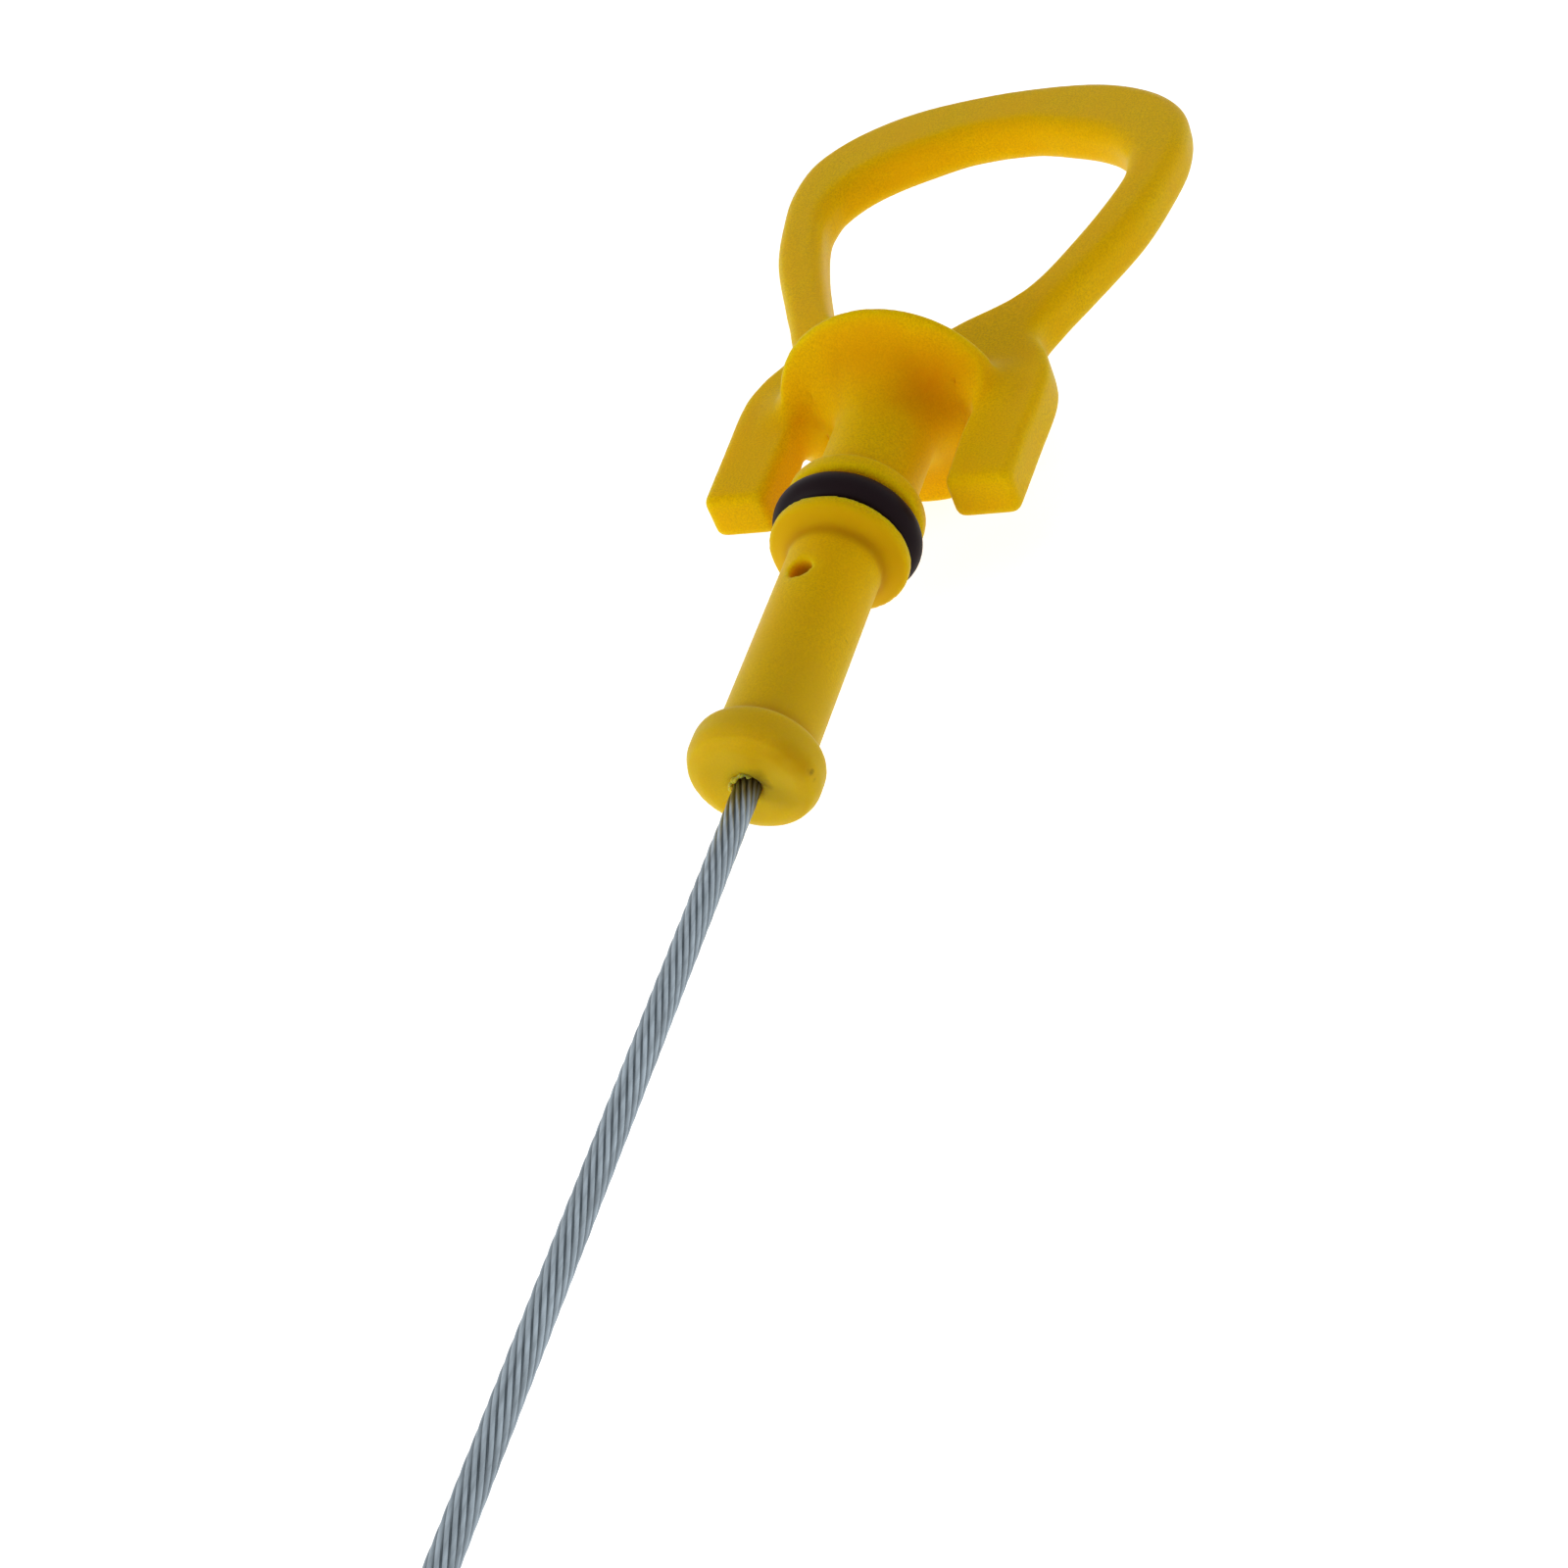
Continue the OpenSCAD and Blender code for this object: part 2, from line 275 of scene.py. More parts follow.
def shell_object(name, rings):
    """New object of a closed shell whose rings are given in the stick's frame."""
    vertices, faces = closed_shell(rings)
    return mesh_object(name, laid(vertices), faces)


def settle(piece):
    """Applies the piece's modifiers to its mesh."""
    bpy.context.view_layer.update()
    done = bpy.data.meshes.new_from_object(piece.evaluated_get(bpy.context.evaluated_depsgraph_get()))
    piece.modifiers.clear()
    old, piece.data = piece.data, done
    bpy.data.meshes.remove(old)


def take_apart(piece):
    """Vertices and faces of a piece that was only a stage of another one, which is deleted."""
    mesh = piece.data
    vertices = np.empty(len(mesh.vertices) * 3)
    mesh.vertices.foreach_get("co", vertices)
    faces = [list(face.vertices) for face in mesh.polygons]
    bpy.data.objects.remove(piece)
    bpy.data.meshes.remove(mesh)
    return vertices.reshape(-1, 3), faces


def between(value, low, high, soft):
    """Smooth weight that is 1 from low to high and falls to 0 within soft outside them."""
    rise = np.clip((value - low) / soft + 1, 0, 1)
    fall = np.clip((high - value) / soft + 1, 0, 1)
    both = rise * fall
    return both * both * (3 - 2 * both)


class Net:
    """A mesh of quads as arrays of places, edges and quads, with sums over the neighbours of every vertex."""

    def __init__(self, mesh):
        count = len(mesh.vertices)
        self.places = np.empty(count * 3)
        mesh.vertices.foreach_get("co", self.places)
        self.places = self.places.reshape(-1, 3)
        ends = np.empty(len(mesh.edges) * 2, int)
        mesh.edges.foreach_get("vertices", ends)
        self.ends = ends.reshape(-1, 2)
        corners = np.empty(len(mesh.loops), int)
        mesh.loops.foreach_get("vertex_index", corners)
        self.quads = corners.reshape(-1, 4)
        self.degree = np.bincount(ends, minlength=count)[:, None]

    def gathered(self, where, values):
        """Sum of the rows of values that go to each vertex."""
        return np.stack([np.bincount(where, column, len(self.places)) for column in values.T], axis=-1)

    def mean(self, values):
        """Mean of values over the neighbours of each vertex."""
        first, second = self.ends.T
        return (self.gathered(first, values[second]) + self.gathered(second, values[first])) / self.degree

    def normals(self):
        """Unit normals: sums of the cross products of the diagonals of the quads at each vertex."""
        p = self.places[self.quads]
        face = np.cross(p[:, 2] - p[:, 0], p[:, 3] - p[:, 1])
        normal = sum(self.gathered(corner, face) for corner in self.quads.T)
        return normal / np.linalg.norm(normal, axis=1)[:, None]

    def bend(self, normals):
        """How far the mean of a vertex's neighbours lies outside the surface: positive in a hollow."""
        return ((self.mean(self.places) - self.places) * normals).sum(1)

    def run_together(self, hollow, edge, rounds):
        """Rounds the creases: each round moves every vertex along its normal by its bend.

        The move is weighted with hollow where the bend is positive and with edge where it is negative.
        """
        for _ in range(rounds):
            normals = self.normals()
            bend = self.bend(normals)
            move = np.maximum(bend, 0) * hollow + np.minimum(bend, 0) * edge
            self.places = self.places + move[:, None] * normals

    def hollows(self, full, rounds):
        """Share from 0 to 1 of how hollow the surface is near each vertex: a bend of full counts as 1."""
        share = np.clip(self.bend(self.normals()) / full, 0, 1)[:, None]
        for _ in range(rounds):
            share = 0.5 * (share + self.mean(share))
        return share[:, 0]


# Settings


def length(name, description, default, largest=0.4):
    """A length that the user can set, in metres."""
    return bpy.props.FloatProperty(
        name=name, description=description, default=default, min=0.0, max=largest, unit="LENGTH", precision=5
    )


def colour(name, description, default):
    """A colour that the user can set."""
    return bpy.props.FloatVectorProperty(
        name=name, description=description, default=default, subtype="COLOR", size=3, min=0.0, max=1.0
    )


class DipstickHandleSettings(bpy.types.PropertyGroup):
    """Sizes and colours of the moulded handle"""

    stem: length("Stem", "Diameter of the stem", 9.2 * MM)
    bulb: length("Guide bulb", "Diameter of the guide bulb", 12.4 * MM)
    collar: length("Collars", "Diameter of the two collars", 13.8 * MM)
    neck: length("Neck", "Diameter of the neck", 10.2 * MM)
    hood: length("Hood", "Diameter of the hood", 24.4 * MM)
    wing: length("Wing thickness", "Thickness of the guard wings", 5.0 * MM)
    loop: length("Loop thickness", "Thickness of the finger loop", 5.3 * MM)
    root: length("Wing roots", "Radius with which the wings flare into the hood", 4.6 * MM)
    hole: length("Cross hole", "Diameter of the cross hole in the stem", 2.4 * MM)
    voxel: length("Grain", "Edge of the cells that the moulding is rebuilt with", 0.3 * MM)
    plastic: colour("Plastic", "Colour of the moulded plastic", (0.96, 0.58, 0.002))


class DipstickRingSettings(bpy.types.PropertyGroup):
    """Sizes and colours of the sealing ring"""

    outer: length("Outer diameter", "Outer diameter of the sealing ring", 14.8 * MM)
    thickness: length("Thickness", "Thickness of the sealing ring", 3.6 * MM)
    rubber: colour("Rubber", "Colour of the rubber", (0.010, 0.004, 0.006))


class DipstickCableSettings(bpy.types.PropertyGroup):
    """Sizes and colours of the cable and its level blade"""

    diameter: length("Cable", "Diameter of the cable", 2.5 * MM)
    free: length("Free length", "Length of cable between the handle and the blade's barrel", 200 * MM)
    lay: length("Lay length", "Length over which a wire goes once round the cable", 21.9 * MM)
    wires: bpy.props.IntProperty(
        name="Wires", description="Number of wires in the outer layer", default=12, min=6
    )
    steel: colour("Steel", "Colour of the wires", (0.325, 0.385, 0.435))
    plated: colour("Plated steel", "Colour of the level blade", (0.45, 0.45, 0.44))


# Materials


class Finish:
    """A material's node tree with short calls for its nodes, links and fixed values."""

    def __init__(self, name):
        self.material = bpy.data.materials.new(name)
        self.material.use_nodes = True
        self.tree = self.material.node_tree
        self.shader = self.tree.nodes["Principled BSDF"]

    def add(self, kind, inputs=None, **settings):
        """New node: settings are its own properties, inputs maps sockets to numbers, colours or outputs."""
        node = self.tree.nodes.new("ShaderNode" + kind)
        for key, value in settings.items():
            setattr(node, key, value)
        self.feed(node, inputs or {})
        return node

    def feed(self, node, inputs):
        """Links or sets the node's sockets."""
        for socket, value in inputs.items():
            if isinstance(value, bpy.types.NodeSocket):
                self.tree.links.new(value, node.inputs[socket])
            else:
                node.inputs[socket].default_value = value

    def noise(self, where, scale, detail=2, output="Fac"):
        """Noise at the places where, with scale cells to the metre."""
        return self.add("TexNoise", {"Vector": where, "Scale": scale, "Detail": detail}).outputs[output]

    def calculated(self, operation, *values):
        """Result of a Math node."""
        return self.add("Math", dict(enumerate(values)), operation=operation).outputs[0]

    def spread(self, value, low, high, start=0.0, stop=1.0):
        """Maps value from start..stop to low..high."""
        inputs = {"Value": value, "From Min": start, "From Max": stop, "To Min": low, "To Max": high}
        return self.add("MapRange", inputs).outputs["Result"]

    def mixed(self, amount, low, high):
        """Colour mix of low and high, each a colour or an output."""
        return self.add("Mix", {0: amount, 6: low, 7: high}, data_type="RGBA").outputs[2]


def shade(base, factor):
    """The base colour made darker or lighter."""
    return (*[min(1.0, factor * part) for part in base], 1.0)


def plastic_material(base):
    """Translucent moulded plastic: fine grain, slow clouding, painted shade in hollows, an oil film, a darker
    band round the lower collar's slope, and marks of dirt, painted shade and painted light.

    Places are read in the stick's frame: the object coordinates turned about Y by the stick's pitch.
    """
    clouded = (base[0] * 0.98, base[1] * 0.9, base[2], 1)
    # Colour of the oil film towards the bulb
    oil_film_and_gap_shade = (base[0] * 0.73, base[1] * 0.83, 0.02, 1)
    # Colour of the darker band round the lower collar's slope
    darker_slope = (base[0] * 0.82, base[1] * 0.82, 0.004, 1)
    # Colour of the painted shade in hollows
    deep = (base[0] * 0.58, base[1] * 0.4, base[2], 1)
    flash = (0.5, 0.42, 0.07, 1)

    finish = Finish("moulded_plastic")
    pitch = math.asin(TOWARDS_LOOP[2])
    own = finish.add("TexCoord").outputs["Object"]
    to_stick = {"Vector": own, "Location": (SEAT, 0, 0), "Rotation": (0, pitch, 0)}
    where = finish.add("Mapping", to_stick).outputs[0]
    along = finish.add("SeparateXYZ", {"Vector": where}).outputs["X"]
    grain = finish.noise(where, 5200)
    cloud = finish.noise(where, 130)
    skin = finish.mixed(finish.spread(grain, 0, 1, 0.3, 0.7), shade(base, 0.78), shade(base, 1.12))
    tint = finish.mixed(finish.spread(cloud, 0, 0.5, 0.35, 0.7), skin, clouded)

    oiled = finish.spread(along, 1, 0, 0, 22 * MM)
    film = finish.calculated("MULTIPLY", oiled, finish.spread(cloud, 0.5, 1, 0.3, 0.7))
    tint = finish.mixed(film, tint, oil_film_and_gap_shade)
    # Darker band round the lower collar's sloping face
    off_slope = finish.calculated("ABSOLUTE", finish.calculated("SUBTRACT", along, COLLAR_SLOPE * MM))
    tint = finish.mixed(finish.spread(off_slope, 1, 0, 0.5 * MM, 1.4 * MM), tint, darker_slope)
    # Painted shade in hollows: the attribute says how hollow the surface is
    hollow = finish.add("Attribute", attribute_name="hollow").outputs["Fac"]
    tint = finish.mixed(finish.spread(hollow, 0, 0.7), tint, deep)

    wobble = finish.noise(where, 900, 3, "Color")
    shift = finish.add("VectorMath", {0: wobble, 1: (0.5, 0.5, 0.5)}, operation="SUBTRACT").outputs[0]
    shift = finish.add("VectorMath", {0: shift, "Scale": 1.2 * MM}, operation="SCALE").outputs[0]
    ragged = finish.add("VectorMath", {0: where, 1: shift}, operation="ADD").outputs[0]
    # Specks of dirt and patches of painted shade and painted light, mixed into the colour with ragged edges
    for place, radius, strength, stain_and_painted_light in STAINS_AND_PAINTED_LIGHT:
        spot = tuple(np.array(place) * MM)
        away = finish.add("VectorMath", {0: ragged, 1: spot}, operation="DISTANCE").outputs["Value"]
        tint = finish.mixed(finish.spread(away, strength, 0, 0, radius * MM), tint, (*stain_and_painted_light, 1))
    tint = finish.mixed(finish.spread(along, 0, 1, -0.02 * MM, -0.12 * MM), tint, flash)
    bump = finish.add("Bump", {"Height": grain, "Strength": 0.2, "Distance": 0.0001})
    finish.feed(finish.shader, {
        "Base Color": tint,
        "Normal": bump.outputs["Normal"],
        "Roughness": 0.45,
        "Specular IOR Level": 0.04,
        "Specular Tint": (1.0, 0.75, 0.02, 1.0),
        "Subsurface Weight": 1.0,
        "Subsurface Radius": (1.0, 0.67, 0.03),
        "Subsurface Scale": 2.6 * MM,
        "Sheen Weight": 0.2,
        "Sheen Roughness": 0.3,
        "Sheen Tint": (1.0, 0.85, 0.5, 1.0),
    })
    return finish.material


def rubber_material(base):
    """Smooth satin rubber with a faint uneven gloss."""
    finish = Finish("seal_rubber")
    where = finish.add("TexCoord").outputs["Object"]
    patches = finish.noise(where, 500)
    finish.feed(finish.shader, {
        "Base Color": finish.mixed(patches, shade(base, 0.8), shade(base, 1.2)),
        "Roughness": finish.spread(patches, 0.42, 0.56),
        "Specular IOR Level": 0.08,
    })
    return finish.material


def wire_material(base):
    """Bright drawn wires: the attribute valley paints shade into the gaps between the wires, and the end at
    the exit is browned.
    """
    finish = Finish("wire_steel")
    where = finish.add("TexCoord").outputs["Object"]
    valley = finish.add("Attribute", attribute_name="valley").outputs["Fac"]
    lengthwise = finish.add("Mapping", {"Vector": where, "Scale": (0.1, 1, 1)}).outputs["Vector"]
    streaks = finish.noise(lengthwise, 2200, 4)
    clean = finish.mixed(finish.spread(streaks, 0, 1, 0.3, 0.7), shade(base, 0.7), shade(base, 1.15))
    # Painted shade in the gaps between the wires, as deep as the valley attribute says
    oil_film_and_gap_shade = finish.mixed(valley, clean, shade(base, 0.28))
    along = finish.add("SeparateXYZ", {"Vector": where}).outputs["X"]
    near = finish.spread(along, 0, 0.7, -SEAT - 3.5 * MM, -SEAT - 0.5 * MM)
    finish.feed(finish.shader, {
        "Base Color": finish.mixed(near, oil_film_and_gap_shade, (0.07, 0.05, 0.015, 1)),
        "Roughness": finish.spread(streaks, 0.24, 0.42),
        "Metallic": 1.0,
    })
    return finish.material


def plated_material(base):
    """Plated strip: the colour and the roughness vary in streaks along the piece."""
    finish = Finish("plated_steel")
    where = finish.add("TexCoord").outputs["Object"]
    lengthwise = finish.add("Mapping", {"Vector": where, "Scale": (0.08, 1, 1)}).outputs["Vector"]
    streaks = finish.noise(lengthwise, 1500, 4)
    plated = finish.mixed(finish.spread(streaks, 0, 1, 0.3, 0.7), shade(base, 0.78), shade(base, 1.05))
    finish.feed(finish.shader, {
        "Base Color": plated,
        "Roughness": finish.spread(streaks, 0.34, 0.52),
        "Metallic": 1.0,
    })
    return finish.material


# Handle


def arc(place, radius, size, start, stop, count=8):
    """Points [place, radius] of a circular arc of the given size, between two angles in degrees."""
    angle = np.radians(np.linspace(start, stop, count))
    return np.stack([place + size * np.cos(angle), radius + size * np.sin(angle)], axis=-1)


def body_profile(settings):
    """Profile of the turned body, rows of [place, radius]: bulb, stem, collars, groove, neck and hood."""
    sizes = (settings.stem, settings.bulb, settings.collar, settings.neck, settings.hood)
    stem, bulb, collar, neck, hood = (size / MM / 2 for size in sizes)
    rows = [
        [(0.5, 0.0), (0.4, 1.25), (0.0, 1.45)],
        arc(BULB_ROUND, bulb - BULB_ROUND, BULB_ROUND, 180, 90, 3),
        arc(BULB_END - BULB_ROUND, bulb - BULB_ROUND, BULB_ROUND, 90, 25),
        arc(BULB_END + 0.8, stem + BULB_FOOT_ROUND, BULB_FOOT_ROUND, 215, 270),
        arc(COLLAR_FOOT - 0.2, stem + COLLAR_ROUND, COLLAR_ROUND, 270, 330, 6),
        arc(COLLAR_RIM, collar - 0.3, 0.3, 150, 90, 4),
        arc(GROOVE - RIM_ROUND, collar - RIM_ROUND, RIM_ROUND, 90, 0, 4),
        [(GROOVE, GROOVE_FLOOR), (GROOVE_END, GROOVE_FLOOR)],
        arc(GROOVE_END + COLLAR_ROUND, collar - COLLAR_ROUND, COLLAR_ROUND, 180, 90, 4),
        arc(SEAL_END - COLLAR_TOP_ROUND, collar - COLLAR_TOP_ROUND, COLLAR_TOP_ROUND, 90, 20, 6),
        arc(SEAL_END + 1.3, neck + NECK_FOOT_ROUND, NECK_FOOT_ROUND, 200, 270, 6),
        arc(HOOD - HOOD_COVE, neck + HOOD_COVE, HOOD_COVE, 270, 350, 18),
        arc(HOOD_TOP - HOOD_ROUND, hood - HOOD_ROUND, HOOD_ROUND, 160, 0, 10),
        [(HOOD_TOP + 3.4, 4.0), (HOOD_TOP + 3.4, 0.0)],
    ]
    return np.concatenate([np.asarray(row, float) for row in rows]) * MM


def strap_rings(settings):
    """Rings of the strap that makes both wings and the loop, from the left wing's end to the right one's.

    The section turns from the wing's into the loop's between the third and the sixth point of the edges.
    """
    outside, inside = spline(OUTSIDE_EDGE, EDGE_STEPS) * MM, spline(INSIDE_EDGE, EDGE_STEPS) * MM
    turn = np.clip((np.arange(len(outside)) / EDGE_STEPS - 3) / 3, 0, 1)
    height = settings.wing + turn * (settings.loop - settings.wing)
    half = banded(inside, outside, height, (WING_ROUND + (LOOP_ROUND - WING_ROUND) * turn) * MM)
    end = WING_END_ROUND * MM
    tip = []
    for angle in np.linspace(0, 0.5 * np.pi, 5)[:-1]:
        inset = end * (1 - math.sin(angle))
        move = np.array([end * (1 - math.cos(angle)), 0])
        shrink = np.array([0, inset])
        edges = inside[:1] + move + shrink, outside[:1] + move - shrink
        tip.append(banded(*edges, height[:1] - 2 * inset, np.array([WING_ROUND * MM - inset])))
    past_tip = half[half[:, 0, 0] > (OUTSIDE_EDGE[0][0] * MM + end)]
    left_half = np.concatenate([*tip, past_tip])
    return np.concatenate([left_half, left_half[-2::-1] * [1, -1, 1]])


def web_rings(settings):
    """Rings of the web above the hood: a flat strip up to the round bottom of the finger hole."""
    count, hole, centre = 33, 4.0, 62.3
    left = np.linspace(-hole, hole, count)
    low = np.stack([np.full(count, HOOD + 0.5), left], axis=-1)
    high = np.stack([centre - np.sqrt(np.maximum(hole**2 - left**2, 0)), left], axis=-1)
    return banded(low * MM, high * MM, np.full(count, settings.wing), np.full(count, 1.2 * MM))


def root_rings(settings, side):
    """Rings of a wing's root: superellipses that grow by a quarter circle's rise on the way to the hood.

    At the share s of the root's length the section has grown by root * (1 - sqrt(1 - s^2)) on both faces and
    towards the neck, and its height is cut back to the circle of the hood's rim.
    """
    share = np.sin(np.radians(np.linspace(0, 90, 13)))[:, None]
    growth = settings.root * (1 - np.sqrt(1 - share**2))
    inner, outer = 9.7 * MM - 0.6 * growth, 15.4 * MM
    around = np.radians(np.linspace(0, 360, 96, endpoint=False))[None, :]
    power = 2 / (7 - 4 * share)
    left = (inner + outer) / 2 + (outer - inner) / 2 * squared(np.cos(around), power)
    half = settings.wing / 2 - 0.05 * MM
    up = (half + growth) * squared(np.sin(around), power)
    rim = settings.hood / 2 - (1.4 - 1.2 * share) * MM
    room = np.maximum(np.sqrt(np.maximum(rim**2 - left**2, 0)), half)
    place = HOOD * MM - settings.root * (1 - share) + 0 * left
    rings = np.stack([place, left, np.clip(up, -room, room)], axis=-1)
    rings = np.concatenate([rings, rings[-1:] + [0.6 * MM, 0, 0]])
    return rings if side > 0 else rings[:, ::-1] * [1, -1, 1]


def lip_rings(count=70):
    """Rings of the ragged lip of flash round the cable's exit: ellipses along an arc, sized in waves."""
    turn = np.linspace(-0.35, 2.15, count)[:, None]
    around = np.linspace(0, 2 * np.pi, 12, endpoint=False)[None, :]
    share = np.linspace(0.002, 0.998, count)[:, None]
    taper = np.sin(np.pi * share) ** 0.4
    wide = (0.2 + 0.06 * np.sin(9 * turn) + 0.03 * np.sin(23 * turn)) * taper
    high = (0.26 + 0.1 * np.sin(6 * turn + 1) + 0.06 * np.sin(17 * turn)) * taper
    radius = 1.5 + 0.08 * np.sin(5 * turn) + wide * np.cos(around)
    along = 0.05 - high - high * np.sin(around)
    return np.stack([along, radius * np.cos(turn), radius * np.sin(turn)], axis=-1) * MM


def bored_body(settings):
    """Vertices and faces of the turned body with its blind cross hole, whose core is a row of circles."""
    body = shell_object("body_stage", turned(body_profile(settings), 128))
    turn = math.radians(CROSS_HOLE_TURN)
    out = np.array([0, -math.sin(turn), math.cos(turn)])
    aside = np.array([0, math.cos(turn), math.sin(turn)])
    depth = np.array([2.7, 3.0, 6.0])[:, None, None] * MM
    radius = np.array([0.6, 1.0, 1.0])[:, None, None] * settings.hole / 2
    angle = np.linspace(0, 2 * np.pi, 48, endpoint=False)[None, :, None]
    rings = depth * out + radius * (np.cos(angle) * np.array([1.0, 0, 0]) + np.sin(angle) * aside)
    core = shell_object("core_stage", rings + np.array([CROSS_HOLE * MM, 0, 0]))
    cut = body.modifiers.new("cross_hole", "BOOLEAN")
    cut.operation, cut.object, cut.solver = "DIFFERENCE", core, "EXACT"
    settle(body)
    take_apart(core)
    return take_apart(body)


class DIPSTICK_OT_handle(bpy.types.Operator):
    """Build the moulded handle: turned body, wings, loop and web, run together with moulded fillets"""

    bl_idname = "dipstick.handle"
    bl_label = "Handle"

    def execute(self, context):
        settings = context.scene.dipstick_handle
        body, faces = bored_body(settings)
        vertices, first = [body], len(body)
        roots = root_rings(settings, 1), root_rings(settings, -1)
        for rings in (strap_rings(settings), web_rings(settings), *roots):
            places, shell_faces = closed_shell(rings, first)
            vertices.append(laid(places))
            faces += shell_faces
            first += len(places)
        piece = mesh_object("handle_moulding", np.concatenate(vertices), faces)
        remesh = piece.modifiers.new("run_together", "REMESH")
        remesh.mode = "VOXEL"
        remesh.voxel_size = settings.voxel
        remesh.use_smooth_shade = True
        even = piece.modifiers.new("even", "SMOOTH")
        even.factor = 0.5
        even.iterations = 3
        settle(piece)
        net = Net(piece.data)
        along, left, up = on_stick(net.places).T
        junction = between(along, 46.0, 52.0, 3.0) * between(np.abs(left), 6.5, 12.0, 2.5)
        rim_end = junction * between(np.abs(left), 11.6, 13.0, 0.8) * between(np.abs(up), 0.0, 3.4, 1.2)
        joined = between(along, 40.0, 64.0, 3.0)
        net.run_together(0.08 * joined + 0.85 * junction, 0.3 * rim_end, 240)
        take_apart(piece)
        lip_places, lip_faces = closed_shell(lip_rings(), len(net.places))
        everywhere = np.concatenate([net.places, laid(lip_places)])
        piece = mesh_object("handle_moulding", everywhere, net.quads.tolist() + lip_faces)
        # How hollow the surface is round each vertex, for the plastic's painted shade in hollows
        hollow = piece.data.attributes.new("hollow", "FLOAT", "POINT")
        share = net.hollows(0.013 * MM, 8) * between(along, 0.0, HOOD, 1.0)
        hollow.data.foreach_set("value", np.concatenate([share, np.zeros(len(lip_places))]))
        piece.data.materials.append(plastic_material(settings.plastic))
        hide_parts("handle")
        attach(piece, "root")
        return {"FINISHED"}


# Ring, cable and blade


class DIPSTICK_OT_ring(bpy.types.Operator):
    """Build the sealing ring: a circle carried round the stick's axis"""

    bl_idname = "dipstick.ring"
    bl_label = "Sealing ring"

    def execute(self, context):
        settings = context.scene.dipstick_ring
        small = settings.thickness / 2
        steps_around, steps_across = 144, 48
        around = np.linspace(0, 2 * np.pi, steps_around, endpoint=False)[:, None]
        tube = np.linspace(0, 2 * np.pi, steps_across, endpoint=False)[None, :]
        radius = settings.outer / 2 - small + small * np.cos(tube)
        place = (GROOVE + GROOVE_END) / 2 * MM - small * np.sin(tube)
        rings = np.stack([place + 0 * around, radius * np.cos(around), radius * np.sin(around)], axis=-1)
        faces = ring_faces(steps_around, steps_across, closed=True).tolist()
        piece = mesh_object("sealing_ring", laid(rings.reshape(-1, 3)), faces)
        piece.data.materials.append(rubber_material(settings.rubber))
        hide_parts("o_ring")
        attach(piece, "root")
        return {"FINISHED"}


def strand_profile(diameter, wires, per_wire=9):
    """Outline across a strand and how deep each point lies in a gap: the outward halves of wires in a ring.

    Wire k's half circle stands on the ring of wire centres at angle 2 pi k / wires, so the gaps are where
    wires touch. The outline is rows of [left, up]; the depth is 0 at a wire's crest and nears 1 in the gap.
    """
    pitch = math.pi / wires
    wire = diameter / 2 * math.sin(pitch) / (1 + math.sin(pitch))
    centre = diameter / 2 - wire
    k = np.repeat(np.arange(wires), per_wire)
    own = np.tile(np.radians(np.linspace(-82, 82, per_wire)), wires)
    at = 2 * pitch * k
    reach = wire * (1 + 0.03 * np.sin(2.3 * k))
    left = centre * np.cos(at) + reach * np.cos(at + own)
    up = centre * np.sin(at) + reach * np.sin(at + own)
    return np.stack([left, up], axis=-1), 1 - np.cos(own)


class DIPSTICK_OT_cable(bpy.types.Operator):
    """Build the stranded cable: the strand's outline carried along the axis while it turns left-handed"""

    bl_idname = "dipstick.cable"
    bl_label = "Cable"

    def execute(self, context):
        settings = context.scene.dipstick_cable
        outline, depth = strand_profile(settings.diameter, settings.wires)
        along = np.linspace(IN_HANDLE * MM, -settings.free - IN_BARREL * MM, 440)
        turn = -2 * np.pi * along / settings.lay
        c, s = np.cos(turn)[:, None], np.sin(turn)[:, None]
        left, up = outline[:, 0], outline[:, 1]
        strand = np.stack([along[:, None] + 0 * left, left * c - up * s, left * s + up * c], axis=-1)
        piece = shell_object("strand", strand[::-1])
        # How deep each point lies in a gap, for the painted shade between the wires
        valley = piece.data.attributes.new("valley", "FLOAT", "POINT")
        valley.data.foreach_set("value", np.tile(depth, len(along)))
        piece.data.materials.append(wire_material(settings.steel))
        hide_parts("cable")
        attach(piece, "root")
        return {"FINISHED"}


class DIPSTICK_OT_blade(bpy.types.Operator):
    """Give the level blade its plated steel"""

    bl_idname = "dipstick.blade"
    bl_label = "Level blade"

    def execute(self, context):
        blade = frame["nodes"]["level_blade"]
        blade.data.materials.clear()
        blade.data.materials.append(plated_material(context.scene.dipstick_cable.plated))
        return {"FINISHED"}


# Stage


def lamp(name, place, target, size, power):
    """Square area lamp of the given size and watts at a place, turned to its target."""
    light = bpy.data.lights.new(name, "AREA")
    light.shape = "SQUARE"
    light.size = size
    light.energy = power
    stand = bpy.data.objects.new(name, light)
    stand.location = place
    stand.rotation_euler = (Vector(target) - Vector(place)).to_track_quat("-Z", "Y").to_euler()
    bpy.context.scene.collection.objects.link(stand)


def shown_directly(tree):
    """Output that is 1 for rays that show the background: from the camera, off gloss or through glass."""
    path = tree.nodes.new("ShaderNodeLightPath")
    rays = [path.outputs[name] for name in ("Is Camera Ray", "Is Glossy Ray", "Is Transmission Ray")]
    total = rays[0]
    for ray in rays[1:]:
        largest = tree.nodes.new("ShaderNodeMath")
        largest.operation = "MAXIMUM"
        tree.links.new(total, largest.inputs[0])
        tree.links.new(ray, largest.inputs[1])
        total = largest.outputs[0]
    return total


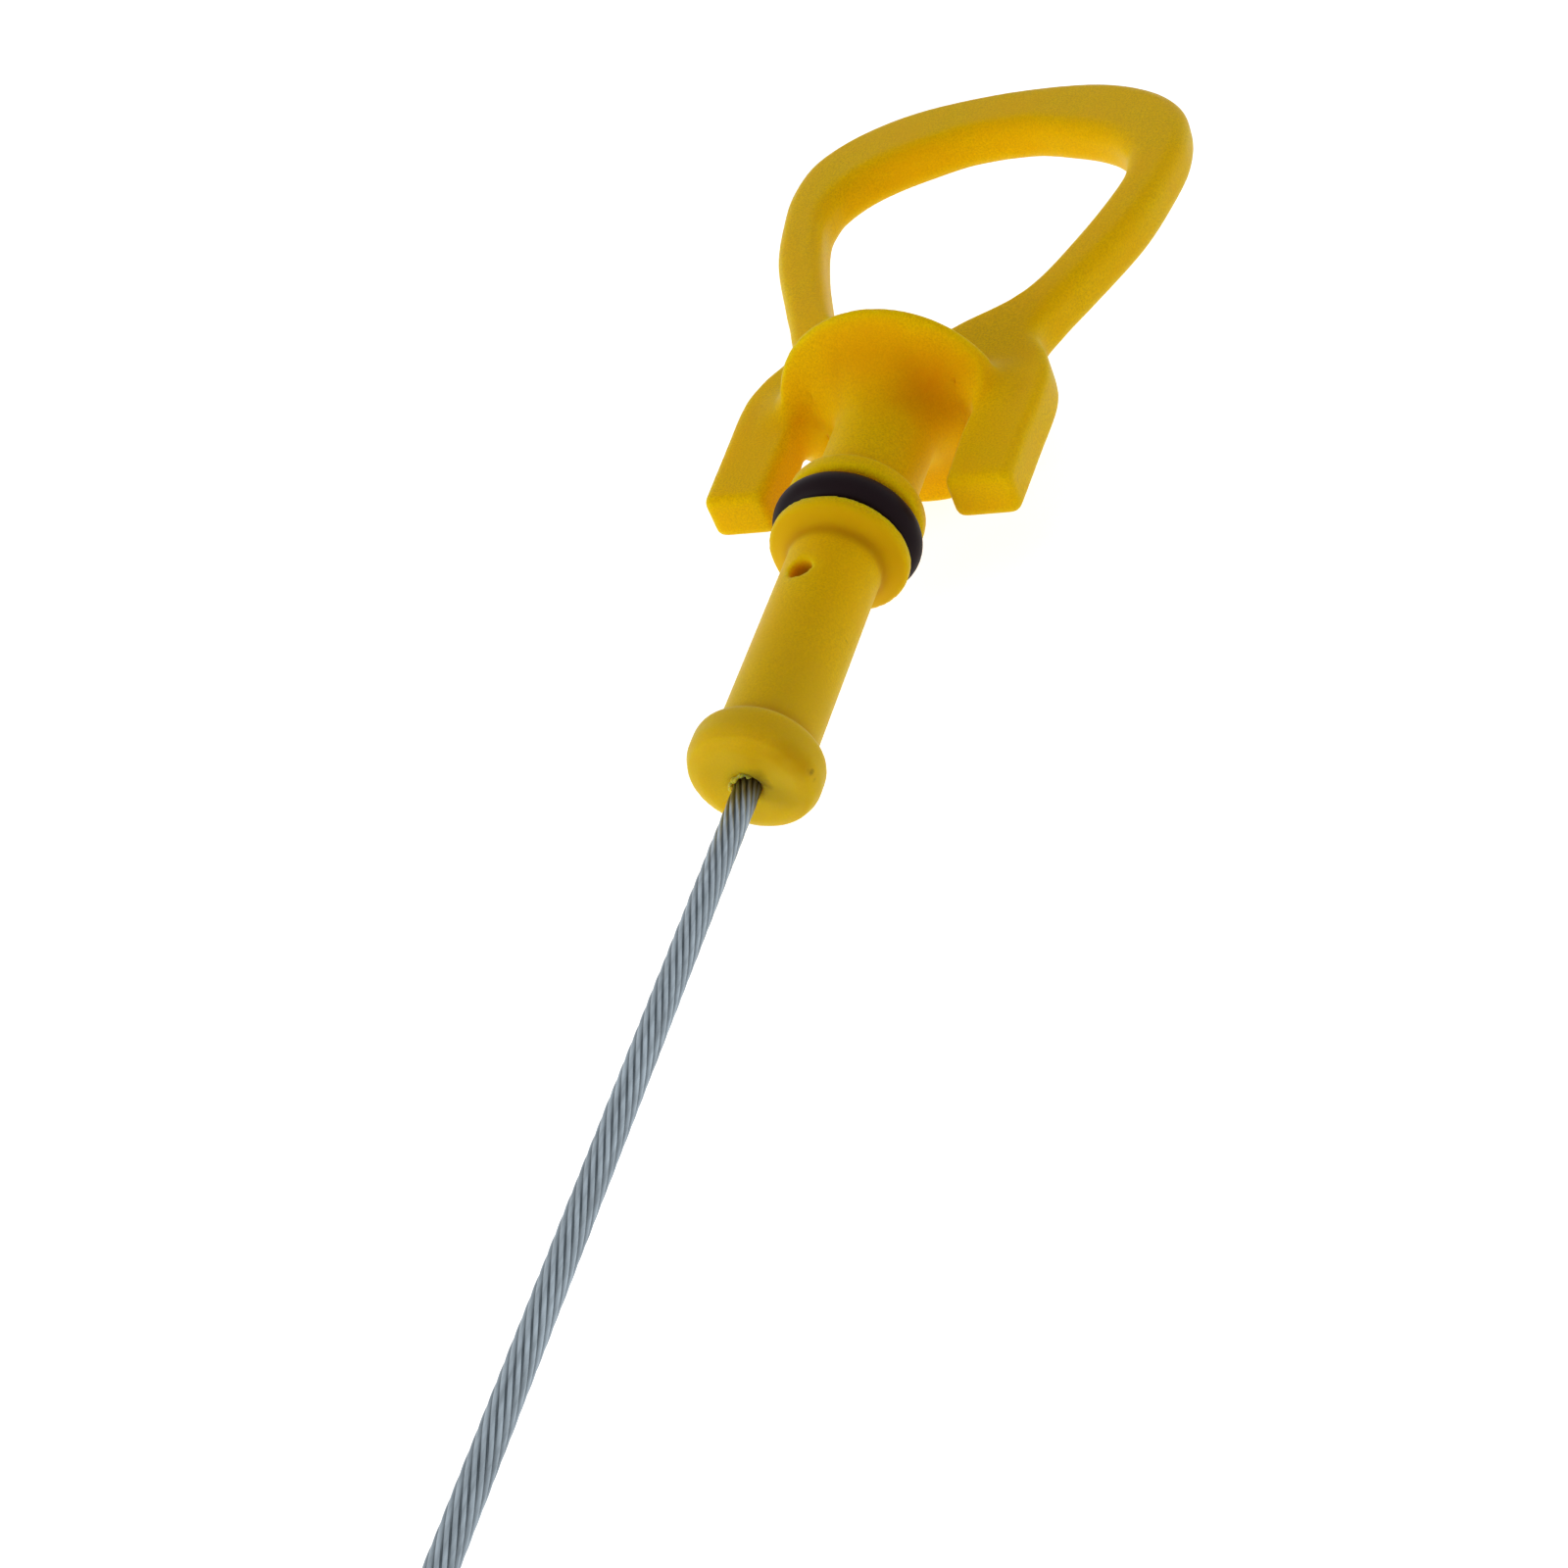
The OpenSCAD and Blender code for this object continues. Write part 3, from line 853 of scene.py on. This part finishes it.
def level_for(tree, base, shown):
    """Output with the level base for rays that light the object, and shown for those of the background."""
    level = tree.nodes.new("ShaderNodeMapRange")
    level.inputs["To Min"].default_value = base
    level.inputs["To Max"].default_value = shown
    tree.links.new(shown_directly(tree), level.inputs["Value"])
    return level.outputs["Result"]


class DIPSTICK_OT_stage(bpy.types.Operator):
    """Set up the camera, the pale floor and the soft studio light"""

    bl_idname = "dipstick.stage"
    bl_label = "Stage"

    def execute(self, context):
        scene = context.scene
        scene.view_settings.view_transform = "Standard"
        lens = bpy.data.cameras.new("camera")
        lens.lens = LENS
        lens.sensor_width = 36
        lens.clip_start = 0.01
        camera = bpy.data.objects.new("camera", lens)
        right, up = Vector(CAMERA_RIGHT), Vector(CAMERA_UP)
        turn = Matrix((right, up, right.cross(up))).transposed().to_4x4()
        camera.matrix_world = Matrix.Translation(CAMERA_PLACE) @ turn
        scene.collection.objects.link(camera)
        scene.camera = camera

        low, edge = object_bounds()[0][2], 3.0
        corners = [(-edge, -edge, low), (edge, -edge, low), (edge, edge, low), (-edge, edge, low)]
        floor = mesh_object("floor", corners, [(0, 1, 2, 3)], False)
        finish = Finish("pale_floor")
        finish.feed(finish.shader, {
            "Base Color": (0.8, 0.8, 0.8, 1),
            "Roughness": 0.9,
            "Emission Color": (1, 1, 1, 1),
            "Emission Strength": level_for(finish.tree, FLOOR_LIGHT, FLOOR_SHOWN),
        })
        floor.data.materials.append(finish.material)
        floor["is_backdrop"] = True

        world = bpy.data.worlds.new("studio")
        world.use_nodes = True
        scene.world = world
        background = world.node_tree.nodes["Background"]
        background.inputs["Color"].default_value = (1, 1, 1, 1)
        level = level_for(world.node_tree, STUDIO_LIGHT, STUDIO_SHOWN)
        world.node_tree.links.new(level, background.inputs["Strength"])
        lamp("key", (-0.5, 0.55, 0.3), (0.02, 0.0, 0.0), 0.3, 1.7)
        lamp("side", (0.33, -0.5, 0.2), (-0.05, 0.0, 0.0), 0.4, 0.1)
        return {"FINISHED"}


class DIPSTICK_PT_panel(bpy.types.Panel):
    """Sizes, colours and building steps of the dipstick"""

    bl_label = "Dipstick"
    bl_idname = "DIPSTICK_PT_panel"
    bl_space_type = "VIEW_3D"
    bl_region_type = "UI"
    bl_category = "Dipstick"

    def draw(self, context):
        for group in SETTINGS:
            settings = getattr(context.scene, group)
            box = self.layout.box()
            for name in settings.__annotations__:
                box.prop(settings, name)
        for step in STEPS:
            self.layout.operator(step.bl_idname)


SETTINGS = {
    "dipstick_handle": DipstickHandleSettings,
    "dipstick_ring": DipstickRingSettings,
    "dipstick_cable": DipstickCableSettings,
}
STEPS = (DIPSTICK_OT_stage, DIPSTICK_OT_cable, DIPSTICK_OT_handle, DIPSTICK_OT_ring, DIPSTICK_OT_blade)


def register():
    for item in (*SETTINGS.values(), *STEPS, DIPSTICK_PT_panel):
        bpy.utils.register_class(item)
    for name, group in SETTINGS.items():
        setattr(bpy.types.Scene, name, bpy.props.PointerProperty(type=group))


def unregister():
    for name in SETTINGS:
        delattr(bpy.types.Scene, name)
    for item in (DIPSTICK_PT_panel, *reversed(STEPS), *reversed(SETTINGS.values())):
        bpy.utils.unregister_class(item)


def main():
    """Builds every piece and the stage."""
    register()
    bpy.ops.dipstick.stage()
    bpy.ops.dipstick.cable()
    bpy.ops.dipstick.handle()
    bpy.ops.dipstick.ring()
    bpy.ops.dipstick.blade()


if __name__ == "__main__":
    main()
